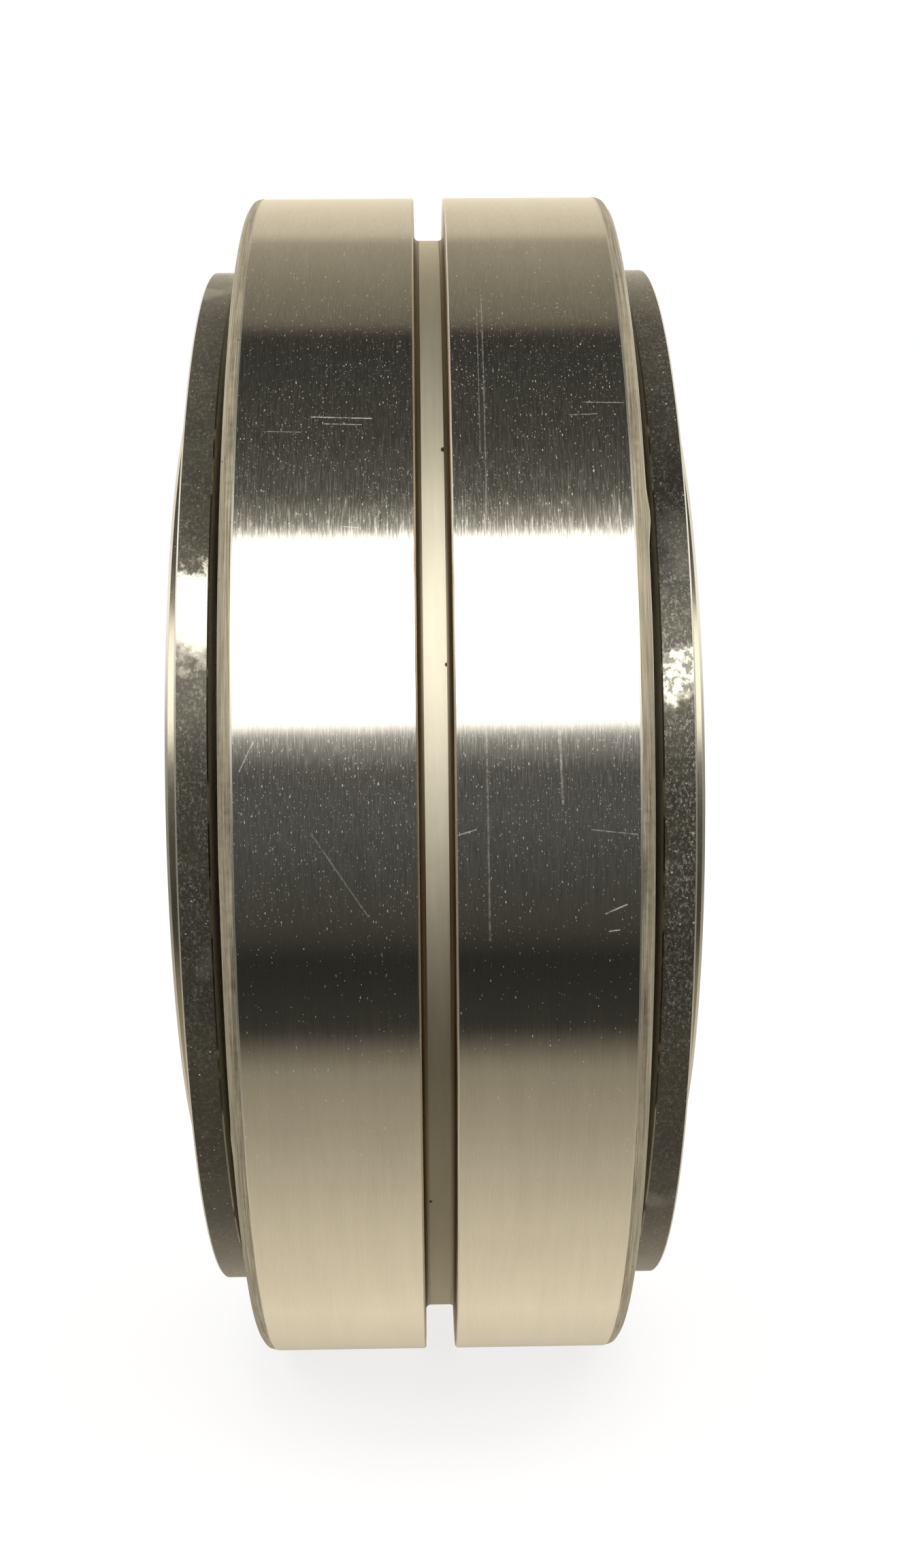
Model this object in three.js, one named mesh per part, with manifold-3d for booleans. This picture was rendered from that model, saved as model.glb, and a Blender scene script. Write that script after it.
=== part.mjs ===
// Double-row spherical roller bearing, 120 x 215 mm. Its inner ring is wider than the outer ring and
// projects past a thin turned side washer on each end.
// Frame: millimetres, origin at the bearing's centre, bearing axis along X, +Z up.
// "Right" is +X, "left" is -X; the left row of rollers is turned half a pitch from the right one.

import * as THREE from "three";
import { mergeVertices } from "three/addons/utils/BufferGeometryUtils.js";
import Module from "manifold-3d";

const wasm = await Module();
wasm.setup();

// ---- dimensions shared by several pieces --------------------------------------------------
const OUTSIDE_R = 215 / 2; // housing seat
const BORE_R = 120 / 2; // shaft seat
const OUTER_HALF = 62.5 / 2; // outer ring, half width
const INNER_HALF = 85.4 / 2; // inner ring, half width
const STOP_X = 33.4; // outboard face of the inner ring's rib, the washer's stop
const SEAT_R = 74.6; // inner ring's projecting end, with the washer's seat

const PER_ROW = 19; // rollers in a row
const PITCH_ANGLE = (2 * Math.PI) / PER_ROW;
const ROLLER_R = 11.3; // largest radius
const ROLLER_HALF = 10.5; // half length
const ROW_X = 15; // roller centre's distance from x = 0
const CENTRE_DISTANCE = 83.5; // bearing centre to roller centre
const END_GAP = 0.35; // roller's end to the pocket and to the guide ring
const END_FACE = ROLLER_HALF + END_GAP;

const SEGMENTS = 60;
const CAGE_SEGMENTS = PER_ROW * 3; // three facets to a pocket pitch
const ROLLER_SEGMENTS = 10;

// Contact angle: the contact normals of both rows pass through the bearing's centre.
const CONTACT = Math.asin(ROW_X / CENTRE_DISTANCE);
const ROW_R = CENTRE_DISTANCE * Math.cos(CONTACT);

// ---- materials ----------------------------------------------------------------------------
const metal = ({ color, roughness }) =>
  new THREE.MeshStandardMaterial({ color, roughness, metalness: 1 });

const materials = {
  groundSteel: metal({ color: 0xb3ab98, roughness: 0.16 }),
  turnedSteel: metal({ color: 0xa9a394, roughness: 0.3 }),
  rollerSteel: metal({ color: 0xc9c7c1, roughness: 0.08 }),
  cageBrass: metal({ color: 0xb08d4a, roughness: 0.34 }),
  guideSteel: metal({ color: 0x77736a, roughness: 0.5 }),
  washerSteel: metal({ color: 0x6f6a5c, roughness: 0.24 }),
};

// ---- sections: lists of [x, radius] points ------------------------------------------------
const mirrorX = (section) => section.map(([x, radius]) => [-x, radius]);

// Closes a right-hand half with its mirror image; `middle` holds any points on x = 0 between them.
const mirrored = (half, middle = []) => [...half, ...middle, ...mirrorX(half).reverse()];

// A right-hand section, or its mirror image for the left side (sign -1).
const onSide = (sign, section) => (sign > 0 ? section : mirrorX(section));

// Radius at which the facets of a ring just clear the circle, for concave surfaces.
const aroundCircle = (radius) => radius / Math.cos(Math.PI / SEGMENTS);

// How far an arc falls away from its crown at a given distance along the chord.
const arcDrop = (radius, distance) => radius - Math.sqrt(radius ** 2 - distance ** 2);

// Right-hand roller coordinates to [x, radius]: `along` runs outboard along the roller from its
// centre, `out` runs away from the shaft, square to it.
const fromRoller = (along, out) => [
  ROW_X + along * Math.cos(CONTACT) + out * Math.sin(CONTACT),
  ROW_R - along * Math.sin(CONTACT) + out * Math.cos(CONTACT),
];

// The point at a given radius on the plane square to the roller, `along` from its centre.
function facingRoller(along, radius) {
  const [axisX, axisR] = fromRoller(along, 0);
  return [axisX + (radius - axisR) * Math.tan(CONTACT), radius];
}

// ---- solids -------------------------------------------------------------------------------
// Turns [x, radius] points about X, in the order given.
function lathe(section, segments) {
  const points = section.map(([x, radius]) => new THREE.Vector2(radius, x));
  return new THREE.LatheGeometry(points, segments).rotateZ(-Math.PI / 2);
}

// A ring from a closed section, walked in whichever direction makes its faces point outward.
function turnedRing(section, segments = SEGMENTS) {
  let doubleArea = 0;
  section.forEach(([x, radius], i) => {
    const [nextX, nextRadius] = section[(i + 1) % section.length];
    doubleArea += x * nextRadius - nextX * radius;
  });
  const loop = doubleArea > 0 ? [...section].reverse() : section;
  return lathe([...loop, loop[0]], segments);
}

function toSolid(geometry) {
  const bare = geometry.clone();
  bare.deleteAttribute("normal");
  bare.deleteAttribute("uv");
  const merged = mergeVertices(bare, 1e-4);
  return new wasm.Manifold(
    new wasm.Mesh({
      numProp: 3,
      vertProperties: new Float32Array(merged.attributes.position.array),
      triVerts: new Uint32Array(merged.index.array),
    }),
  );
}

function toGeometry(solid) {
  const mesh = solid.getMesh();
  const positions = new Float32Array(mesh.vertProperties);
  return new THREE.BufferGeometry()
    .setAttribute("position", new THREE.BufferAttribute(positions, 3))
    .setIndex(new THREE.BufferAttribute(new Uint32Array(mesh.triVerts), 1));
}

// Cuts each tool out of a geometry in turn.
const cutOut = (geometry, tools) =>
  toGeometry(tools.reduce((solid, tool) => solid.subtract(toSolid(tool)), toSolid(geometry)));

// ---- outer ring: spherical raceway, centre groove with two oil holes ----------------------
const CORNER_AXIAL = 2.2; // rounded outer corner: along the axis ...
const CORNER_RADIAL = 1.4; // ... and in radius
const CORNER_MID_AXIAL = 0.4 * CORNER_AXIAL; // the corner's middle point, from the end face ...
const CORNER_MID_RADIAL = 0.35 * CORNER_RADIAL; // ... and from the outside
const GROOVE_HALF = 2.625; // half width
const GROOVE_FLOOR_R = 99.9;
const GROOVE_FILLET = 0.9; // at the floor
const GROOVE_EDGE = 0.25; // broken edge at the mouth
const RACE_R = 95;
const RACE_ALLOWANCE = 0.04; // added to the raceway's radius
const RACE_STEPS = 4; // from the middle to each end
const OIL_HOLE = { radius: 2, sides: 8 };
const OIL_DRILL = { length: 10, midRadius: 97.5 }; // spans the wall from raceway to groove floor

function outerRing() {
  const raceRadius = (angle) => aroundCircle(RACE_R * Math.cos(angle)) + RACE_ALLOWANCE;
  const half = [
    [GROOVE_HALF - GROOVE_FILLET, GROOVE_FLOOR_R],
    [GROOVE_HALF, GROOVE_FLOOR_R + GROOVE_FILLET],
    [GROOVE_HALF, OUTSIDE_R - GROOVE_EDGE],
    [GROOVE_HALF + GROOVE_EDGE, OUTSIDE_R],
    [OUTER_HALF - CORNER_AXIAL, OUTSIDE_R],
    [OUTER_HALF - CORNER_MID_AXIAL, OUTSIDE_R - CORNER_MID_RADIAL],
    [OUTER_HALF, OUTSIDE_R - CORNER_RADIAL],
  ];
  const endAngle = Math.asin(OUTER_HALF / RACE_R);
  for (let i = RACE_STEPS; i >= 1; i--) {
    const angle = (endAngle * i) / RACE_STEPS;
    half.push([RACE_R * Math.sin(angle), raceRadius(angle)]);
  }
  const { radius, sides } = OIL_HOLE;
  // one hole at the top and one at the bottom
  const drills = [1, -1].map((side) =>
    new THREE.CylinderGeometry(radius, radius, OIL_DRILL.length, sides)
      .rotateX(Math.PI / 2)
      .translate(0, 0, side * OIL_DRILL.midRadius),
  );
  return cutOut(turnedRing(mirrored(half, [[0, raceRadius(0)]])), drills);
}

// ---- inner ring: two concave raceways, each with a retaining rib outboard -----------------
const INNER_RACE_R = 94; // profile radius of the raceways
const RACE_GAP = 0.2; // running gap under the rollers
const RACE_END = 10.9; // outboard end, at the rib, along the roller from its centre
const RACE_STATIONS = [-10.8, -3.6, 3.6, RACE_END];
const RIB_R = 76;
const BORE_CHAMFER = 2;
const END_CHAMFER = 0.5; // outer corner of each end

function innerRing() {
  const race = RACE_STATIONS.map((along) =>
    fromRoller(along, arcDrop(INNER_RACE_R, along) - ROLLER_R - RACE_GAP),
  );
  return turnedRing(
    mirrored([
      ...race,
      facingRoller(RACE_END, RIB_R),
      [STOP_X, RIB_R],
      [STOP_X, SEAT_R],
      [INNER_HALF - END_CHAMFER, SEAT_R],
      [INNER_HALF, SEAT_R - END_CHAMFER],
      [INNER_HALF, BORE_R + BORE_CHAMFER],
      [INNER_HALF - BORE_CHAMFER, BORE_R],
    ]),
  );
}

// ---- guide ring: floats between the rows, faces square to the rollers ---------------------
const GUIDE_BORE_R = 74;
const GUIDE_TOP_R = 80.5;

const guideRing = () =>
  turnedRing(
    mirrored([facingRoller(-END_FACE, GUIDE_BORE_R), facingRoller(-END_FACE, GUIDE_TOP_R)]),
  );

// ---- barrel roller, along X ---------------------------------------------------------------
const ROLLER_PROFILE_R = 93;
const ROLLER_CHAMFER = 0.8;

function barrelRoller() {
  const edgeX = ROLLER_HALF - ROLLER_CHAMFER;
  const edgeR = ROLLER_R - arcDrop(ROLLER_PROFILE_R, edgeX);
  const endR = edgeR - ROLLER_CHAMFER;
  return lathe(
    [
      [-ROLLER_HALF, 0],
      [-ROLLER_HALF, endR],
      [-edgeX, edgeR],
      [0, ROLLER_R],
      [edgeX, edgeR],
      [ROLLER_HALF, endR],
      [ROLLER_HALF, 0],
    ],
    ROLLER_SEGMENTS,
  );
}

// ---- window cage: a band with a flange at each end, in roller coordinates -----------------
const BAND_TOP = 4.2;
const BAND_UNDER = 2.2;
const FLANGE_FOOT = -2.4;
const FLANGE_NEAR = 11.3; // flange face toward the roller
const FLANGE_THICKNESS = 1.9;
const FLANGE_FAR = FLANGE_NEAR + FLANGE_THICKNESS;
const POCKET_SIDE_GAP = 0.15;
const POCKET_HALF_WIDTH = ROLLER_R + POCKET_SIDE_GAP;
const POCKET_CUT = { mid: 3, depth: 8 }; // cutting box, deep enough to pass through the band

function windowCage(sign, phase) {
  const section = [
    fromRoller(-FLANGE_FAR, FLANGE_FOOT),
    fromRoller(-FLANGE_FAR, BAND_TOP),
    fromRoller(FLANGE_FAR, BAND_TOP),
    fromRoller(FLANGE_FAR, FLANGE_FOOT),
    fromRoller(FLANGE_NEAR, FLANGE_FOOT),
    fromRoller(FLANGE_NEAR, BAND_UNDER),
    fromRoller(-FLANGE_NEAR, BAND_UNDER),
    fromRoller(-FLANGE_NEAR, FLANGE_FOOT),
  ];
  // half a facet more turn centres the facets on the pockets
  const ring = turnedRing(onSide(sign, section), CAGE_SEGMENTS)
    .rotateX(phase + Math.PI / CAGE_SEGMENTS);
  const [pocketX, pocketR] = fromRoller(0, POCKET_CUT.mid);
  const pockets = Array.from({ length: PER_ROW }, (_, i) =>
    new THREE.BoxGeometry(2 * END_FACE, 2 * POCKET_HALF_WIDTH, POCKET_CUT.depth)
      .rotateY(sign * CONTACT)
      .translate(sign * pocketX, 0, pocketR)
      .rotateX(phase + i * PITCH_ANGLE),
  );
  return cutOut(ring, pockets);
}

// ---- side washer --------------------------------------------------------------------------
const WASHER_R = 94.5;
const WASHER_BORE_R = SEAT_R + 0.1; // clear of its seat
const WASHER_IN_X = STOP_X + 0.3; // inboard face, clear of its stop
const WASHER_OUT_X = 38.8; // outboard face
const WASHER_EDGE = 0.25; // broken rim edges

function sideWasher(sign) {
  const section = [
    [WASHER_IN_X, WASHER_BORE_R],
    [WASHER_IN_X, WASHER_R - WASHER_EDGE],
    [WASHER_IN_X + WASHER_EDGE, WASHER_R],
    [WASHER_OUT_X - WASHER_EDGE, WASHER_R],
    [WASHER_OUT_X, WASHER_R - WASHER_EDGE],
    [WASHER_OUT_X, WASHER_BORE_R],
  ];
  return turnedRing(onSide(sign, section));
}

// ---- assembly -----------------------------------------------------------------------------
const bearing = new THREE.Group();

function addPiece(name, geometry, material, parent = bearing) {
  const mesh = new THREE.Mesh(geometry, material);
  mesh.name = name;
  parent.add(mesh);
  return mesh;
}

// One row of rollers, each in a group turned about the bearing's axis to its place.
function addRollers(side, sign, phase, barrel) {
  for (let i = 0; i < PER_ROW; i++) {
    const spoke = new THREE.Group();
    spoke.rotation.x = phase + i * PITCH_ANGLE;
    bearing.add(spoke);
    const name = `roller_${side}_${String(i + 1).padStart(2, "0")}`;
    const roller = addPiece(name, barrel, materials.rollerSteel, spoke);
    roller.position.set(sign * ROW_X, 0, ROW_R);
    roller.rotation.y = sign * CONTACT;
  }
}

addPiece("outer_ring", outerRing(), materials.groundSteel);
addPiece("inner_ring", innerRing(), materials.turnedSteel);
addPiece("guide_ring", guideRing(), materials.guideSteel);

const barrel = barrelRoller();
const SIDES = [
  { side: "left", sign: -1, phase: PITCH_ANGLE / 2 },
  { side: "right", sign: 1, phase: 0 },
];
for (const { side, sign, phase } of SIDES) {
  addPiece(`side_washer_${side}`, sideWasher(sign), materials.washerSteel);
  addPiece(`cage_${side}`, windowCage(sign, phase), materials.cageBrass);
  addRollers(side, sign, phase, barrel);
}

export default bearing;
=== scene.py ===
"""A double-row spherical roller bearing, centred on the origin with its axis along X.

Left is -X, right is +X, the front faces -Y and the top +Z. Sections are drawn in mm as x along
the axis and r out from it. Angles round the bearing are 0 at the front and 90 at the top.
"""

import math
from functools import cached_property, reduce

import bmesh
import bpy
from mathutils import Matrix, Vector


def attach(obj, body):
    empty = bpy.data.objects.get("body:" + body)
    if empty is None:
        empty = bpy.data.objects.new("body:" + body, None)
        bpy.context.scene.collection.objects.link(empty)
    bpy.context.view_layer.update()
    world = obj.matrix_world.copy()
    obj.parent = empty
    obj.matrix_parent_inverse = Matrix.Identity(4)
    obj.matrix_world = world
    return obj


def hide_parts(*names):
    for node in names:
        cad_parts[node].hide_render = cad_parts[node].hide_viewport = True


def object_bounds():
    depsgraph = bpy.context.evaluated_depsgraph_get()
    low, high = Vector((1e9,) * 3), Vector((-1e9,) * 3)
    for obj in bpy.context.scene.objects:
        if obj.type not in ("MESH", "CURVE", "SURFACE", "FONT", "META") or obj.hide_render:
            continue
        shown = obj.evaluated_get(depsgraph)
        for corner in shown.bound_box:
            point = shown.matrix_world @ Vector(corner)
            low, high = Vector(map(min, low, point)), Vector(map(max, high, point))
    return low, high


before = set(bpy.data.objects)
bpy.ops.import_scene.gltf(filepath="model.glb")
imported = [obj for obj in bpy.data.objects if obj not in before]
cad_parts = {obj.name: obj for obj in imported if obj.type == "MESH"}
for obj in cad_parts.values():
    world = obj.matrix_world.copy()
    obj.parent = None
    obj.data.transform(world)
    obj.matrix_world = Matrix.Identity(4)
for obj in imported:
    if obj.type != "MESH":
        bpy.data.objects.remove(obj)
cad_lo, cad_hi = [Vector(c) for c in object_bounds()]

MM = 0.001
OUTSIDE_RADIUS = 107.5
SHARP_ANGLE = 32  # degrees; edges that turn further are shaded sharp
SIDES = (("left", -1), ("right", 1))

# Rollers: two rows of barrels, tilted so that they sit on a sphere about the centre.
ROLLER_COUNT = 19
ROLLER_RADIUS = 11.3
ROLLER_DISTANCE = 83.5  # from the bearing's centre to a roller's
ROW_X = 15.0
TILT = math.asin(ROW_X / ROLLER_DISTANCE)
TILT_COS, TILT_SIN = math.cos(TILT), math.sin(TILT)
ROW_RADIUS = ROLLER_DISTANCE * TILT_COS
ROLLER_STEP = 2 * math.pi / ROLLER_COUNT


# ---------------------------------------------------------------------------- mesh helpers
def rounded(points):
    """Draws the fillets of a closed section.

    points: (x, r, fillet radius, tag of the edge that leaves the point).
    Returns a list of (x, r, tag)."""
    out = []
    for i, (x, r, radius, tag) in enumerate(points):
        if radius <= 0:
            out.append((x, r, tag))
            continue
        corner = Vector((x, r))
        back = Vector(points[i - 1][:2]) - corner
        ahead = Vector(points[(i + 1) % len(points)][:2]) - corner
        back_length, ahead_length = back.length, ahead.length
        back.normalize()
        ahead.normalize()
        angle = back.angle(ahead)
        trim = min(radius / math.tan(angle / 2), back_length * 0.48, ahead_length * 0.48)
        fitted = trim * math.tan(angle / 2)
        centre = corner + (back + ahead).normalized() * (fitted / math.sin(angle / 2))
        first, last = corner + back * trim - centre, corner + ahead * trim - centre
        sweep = math.atan2(first.x * last.y - first.y * last.x, first.dot(last))
        steps = max(3, int(abs(sweep) / math.radians(15)))
        start = math.atan2(first.y, first.x)
        for k in range(steps + 1):
            turn = start + sweep * k / steps
            point = centre + Vector((math.cos(turn), math.sin(turn))) * fitted
            out.append((point.x, point.y, tag))
    return out


def on_side(profile, sign):
    return [(sign * x, r, tag) for x, r, tag in profile]


def with_mirror_image(half):
    """Closes a right half with its reflection; each reflected edge keeps its tag."""
    back = []
    for i in range(len(half) - 1, -1, -1):
        x, r, fillet, _ = half[i]
        back.append((-x, r, fillet, half[i - 1][3] if i else 0))
    return half + back


def make_object(name, bm, materials):
    mesh = bpy.data.meshes.new(name)
    bm.to_mesh(mesh)
    bm.free()
    for material in materials:
        mesh.materials.append(material)
    ob = bpy.data.objects.new(name, mesh)
    bpy.context.scene.collection.objects.link(ob)
    return ob


def lathe(name, profile, materials, segments):
    """A closed section turned about X. profile: (x, r, material index)."""
    bm = bmesh.new()
    on_axis = [abs(r) < 1e-6 for _, r, _ in profile]
    rows = []
    for (x, r, _), axis in zip(profile, on_axis):
        if axis:
            rows.append([bm.verts.new((x * MM, 0, 0))])
            continue
        row = []
        for k in range(segments):
            turn = 2 * math.pi * k / segments
            row.append(bm.verts.new((x * MM, r * MM * math.sin(turn), r * MM * math.cos(turn))))
        rows.append(row)
    for i in range(len(profile)):
        j = (i + 1) % len(profile)
        if on_axis[i] and on_axis[j]:
            continue
        here, there = rows[i], rows[j]
        for k in range(segments):
            m = (k + 1) % segments
            if on_axis[i]:
                corners = (here[0], there[k], there[m])
            elif on_axis[j]:
                corners = (here[k], there[0], here[m])
            else:
                corners = (here[k], there[k], there[m], here[m])
            quad = bm.faces.new(corners)
            quad.material_index = profile[i][2]
            quad.smooth = True
    bmesh.ops.recalc_face_normals(bm, faces=bm.faces)
    for edge in bm.edges:
        if len(edge.link_faces) == 2 and edge.calc_face_angle(0) > math.radians(SHARP_ANGLE):
            edge.smooth = False
    return make_object(name, bm, materials)


def weight_normals(ob):
    modifier = ob.modifiers.new("weighted", "WEIGHTED_NORMAL")
    modifier.mode = "FACE_AREA"
    modifier.weight = 50
    modifier.keep_sharp = True


def apply_all(ob):
    depsgraph = bpy.context.evaluated_depsgraph_get()
    mesh = bpy.data.meshes.new_from_object(ob.evaluated_get(depsgraph), depsgraph=depsgraph)
    old = ob.data
    ob.modifiers.clear()
    ob.data = mesh
    bpy.data.meshes.remove(old)


def cut(ob, cutter):
    modifier = ob.modifiers.new("cut", "BOOLEAN")
    modifier.operation = "DIFFERENCE"
    modifier.solver = "EXACT"
    modifier.object = cutter
    apply_all(ob)
    mesh = cutter.data
    bpy.data.objects.remove(cutter)
    bpy.data.meshes.remove(mesh)


def register(ob, piece, rides):
    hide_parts(piece)
    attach(ob, rides)


# ---------------------------------------------------------------------------- node helpers
def forward(operation):
    return lambda self, other: self.graph.math(operation, self, other)


def reflected(operation):
    return lambda self, other: self.graph.math(operation, other, self)


class Value:
    """A number in a node tree. Arithmetic on it adds Math nodes."""

    def __init__(self, graph, socket):
        self.graph, self.socket = graph, socket

    __add__, __radd__ = forward("ADD"), reflected("ADD")
    __sub__, __rsub__ = forward("SUBTRACT"), reflected("SUBTRACT")
    __mul__, __rmul__ = forward("MULTIPLY"), reflected("MULTIPLY")
    __truediv__ = forward("DIVIDE")
    __pow__ = forward("POWER")
    __lt__, __gt__ = forward("LESS_THAN"), forward("GREATER_THAN")


class Graph:
    """A short way to write a node tree. Numbers are Values; vectors and colours are sockets."""

    def __init__(self, tree, output):
        self.tree = tree
        tree.nodes.clear()
        self.output = tree.nodes.new(output)

    def put(self, socket, value):
        if isinstance(value, Value):
            value = value.socket
        if isinstance(value, bpy.types.NodeSocket):
            self.tree.links.new(value, socket)
        else:
            socket.default_value = value

    def node(self, kind, inputs=None, **settings):
        node = self.tree.nodes.new(kind)
        for name, value in settings.items():
            setattr(node, name, value)
        for key, value in (inputs or {}).items():
            self.put(node.inputs[key], value)
        return node

    def math(self, operation, a, b=0.0, c=None, clamp=False):
        inputs = {0: a, 1: b} if c is None else {0: a, 1: b, 2: c}
        node = self.node("ShaderNodeMath", inputs, operation=operation, use_clamp=clamp)
        return Value(self, node.outputs[0])

    def maximum(self, a, b):
        return self.math("MAXIMUM", a, b)

    def vector(self, operation, a, b=None):
        inputs = {0: a} if b is None else {0: a, 1: b}
        return self.node("ShaderNodeVectorMath", inputs, operation=operation).outputs["Vector"]

    def measure(self, operation, a, b=None):
        """LENGTH or DOT_PRODUCT."""
        inputs = {0: a} if b is None else {0: a, 1: b}
        node = self.node("ShaderNodeVectorMath", inputs, operation=operation)
        return Value(self, node.outputs["Value"])

    def scaled(self, vector, factor):
        inputs = {0: vector, "Scale": factor}
        return self.node("ShaderNodeVectorMath", inputs, operation="SCALE").outputs["Vector"]

    def combine(self, x, y, z):
        return self.node("ShaderNodeCombineXYZ", {0: x, 1: y, 2: z}).outputs[0]

    def split(self, vector):
        node = self.node("ShaderNodeSeparateXYZ", {0: vector})
        return [Value(self, socket) for socket in node.outputs]

    def fade(self, value, between, to=(0.0, 1.0)):
        """A smooth step: the value's range in between becomes the range in to."""
        inputs = {"Value": value, "From Min": between[0], "From Max": between[1],
                  "To Min": to[0], "To Max": to[1]}
        node = self.node("ShaderNodeMapRange", inputs, interpolation_type="SMOOTHSTEP")
        return Value(self, node.outputs["Result"])

    def mix(self, amount, a, b):
        inputs = {0: amount, 6: a, 7: b}
        return self.node("ShaderNodeMix", inputs, data_type="RGBA").outputs[2]

    def mix_shader(self, amount, a, b):
        return self.node("ShaderNodeMixShader", {0: amount, 1: a, 2: b}).outputs[0]

    def noise(self, vector, scale=1.0, detail=2.0, rough=0.5):
        inputs = {"Vector": vector, "Scale": scale, "Detail": detail, "Roughness": rough}
        return Value(self, self.node("ShaderNodeTexNoise", inputs).outputs["Fac"])

    def colour_ramp(self, place, stops, low=-180, high=180):
        """stops: (position from low to high, colour). place runs from 0 to 1. At most 32 stops."""
        node = self.node("ShaderNodeValToRGB", {0: place})
        ramp = node.color_ramp
        ramp.interpolation = "LINEAR"
        for element, (at, colour) in zip(ramp.elements, (stops[0], stops[-1])):
            element.position = (at - low) / (high - low)
            element.color = (*colour, 1)
        for at, colour in stops[1:-1]:
            ramp.elements.new((at - low) / (high - low)).color = (*colour, 1)
        return node.outputs[0]

    def levels(self, angle, stops):
        """Straight lines through (angle, level) stops. The end levels match at the back."""
        grey = [(at, (level,) * 3) for at, level in stops]
        return Value(self, self.colour_ramp(angle * (1 / 360.0) + 0.5, grey))

    def dots(self, vector, scale, keep, spread, least, core, dimensions="3D"):
        """One dot in each kept cell, and a random number for the cell.

        keep: the share of cells with a dot. spread, least: the range and the smallest of the
        dots' radii. core: the full-strength part of the radius."""
        node = self.node("ShaderNodeTexVoronoi", voronoi_dimensions=dimensions)
        self.put(node.inputs["Vector"], vector)
        self.put(node.inputs["Scale"], scale)
        split = self.node("ShaderNodeSeparateColor", {0: node.outputs["Color"]})
        red, green, blue = [Value(self, socket) for socket in split.outputs]
        have = red < keep
        reach = green * spread + least
        distance = Value(self, node.outputs["Distance"])
        return have * self.fade(distance, between=(reach * core, reach), to=(1.0, 0.0)), blue


def new_material(name):
    material = bpy.data.materials.new(name)
    material.use_nodes = True
    return material, Graph(material.node_tree, "ShaderNodeOutputMaterial")


# ---------------------------------------------------------------------------- worked steel
DEGREES = 57.2958  # in a radian

# Scratches on the outside: x, angle, to x, angle, half width, strength.
STROKES = [
    (7.9, 44.0, 7.7, 20.0, 0.16, 0.13), (7.1, 42.0, 7.0, 26.0, 0.12, 0.11),
    (7.1, 3.5, 7.4, -13.0, 0.22, 0.12), (17.5, 3.0, 17.9, -2.5, 0.28, 0.14),
    (-18.0, 29.5, -9.0, 29.3, 0.14, 0.45), (-16.0, 28.8, -10.5, 28.7, 0.11, 0.36),
    (-25.0, 28.1, -19.5, 28.0, 0.12, 0.18), (22.5, 30.8, 28.5, 30.7, 0.12, 0.28),
    (20.5, 29.5, 24.5, 29.6, 0.12, 0.22), (24.0, -11.0, 27.0, -10.3, 0.16, 0.45),
    (24.5, -12.4, 26.0, -12.3, 0.14, 0.45), (3.0, -4.8, 5.5, -4.4, 0.14, 0.35),
    (-18.0, -4.5, -10.0, -11.0, 0.16, 0.12), (22.0, -4.5, 28.5, -4.9, 0.13, 0.22),
    (-28.0, 0.2, -26.0, 2.4, 0.13, 0.25),
]
# Families of fine scratches: lean in radians, spacing across, length, threshold, seed.
SCRATCH_FAMILIES = [
    (0.02, 0.40, 22.0, 0.725, 3.0), (-0.10, 0.55, 12.0, 0.735, 11.0),
    (0.9, 0.45, 6.0, 0.765, 23.0), (1.45, 0.40, 7.0, 0.765, 41.0),
]
# Tables of (angle, level).
# Dust and rubbing on the outside.
WORN = [(-180, 0.10), (-60, 0.05), (-16, 0.08), (-6, 0.60), (6, 0.60), (18, 0.85), (32, 0.60),
        (46, 0.20), (180, 0.10)]
# Grit in the film.
GRITTY = [(-180, 0.35), (-60, 0.20), (-30, 0.30), (-14, 0.85), (14, 0.95), (30, 0.45),
          (50, 0.30), (180, 0.35)]
# Painted light on the washer rims' left and painted shade on their right, by angle round the ring.
PAINTED_LIGHT_LEFT = [(-180, 0.0), (13, 0.0), (22, 0.32), (42, 0.30), (60, 0.0), (180, 0.0)]
PAINTED_SHADE_RIGHT = [(-180, 0.0), (12, 0.0), (17, 0.34), (28, 0.36), (44, 0.0), (180, 0.0)]
# Painted shade: a darker stretch above the front of the groove floor.
GROOVE_FLOOR_SHADE = [(-180, 1.0), (34, 1.0), (43, 0.80), (56, 0.80), (66, 1.0), (180, 1.0)]


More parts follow.
